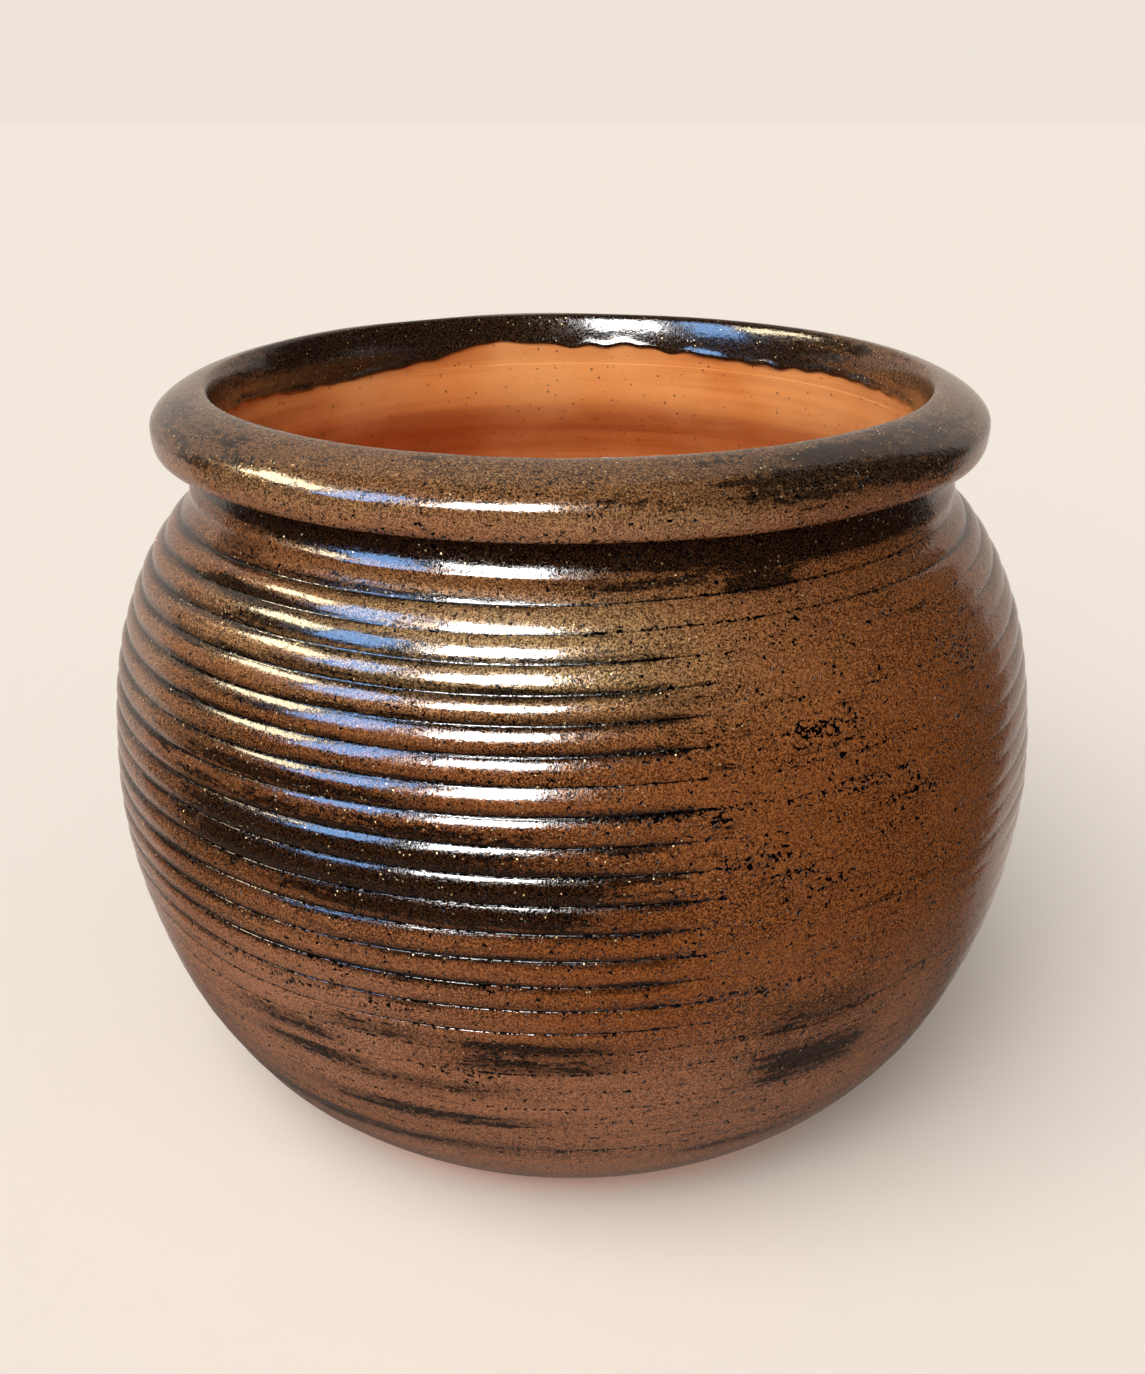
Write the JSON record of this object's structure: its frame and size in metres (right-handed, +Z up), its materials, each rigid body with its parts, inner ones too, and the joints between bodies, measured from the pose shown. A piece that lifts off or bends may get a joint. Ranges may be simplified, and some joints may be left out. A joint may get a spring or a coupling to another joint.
{
  "type": "glazed planter",
  "caption": "Round wide-mouthed planter of thrown terracotta, with a rolled rim, throwing ridges and a glossy bronze-brown glaze outside; unglazed inside, with a drain hole.",
  "frame": {"origin": "middle of the footprint, on the surface that the pot stands on", "axes": "+Z up along the axis of the pot; the front of the picture looks along +Y; X is to the right there"},
  "size_m": [0.3614, 0.3614, 0.284],
  "materials": {
    "terracotta": "matt, bare fired clay with faint throwing rings",
    "bronze_glaze": "glossy bronze-brown glaze with black pools in the valleys and fine golden specks"
  },
  "bodies": {
    "root": {"base_disc": "terracotta", "thrown_wall": "terracotta", "rolled_rim": "terracotta", "wall_glaze": "bronze_glaze", "rim_glaze": "bronze_glaze"}
  },
  "joints": []
}
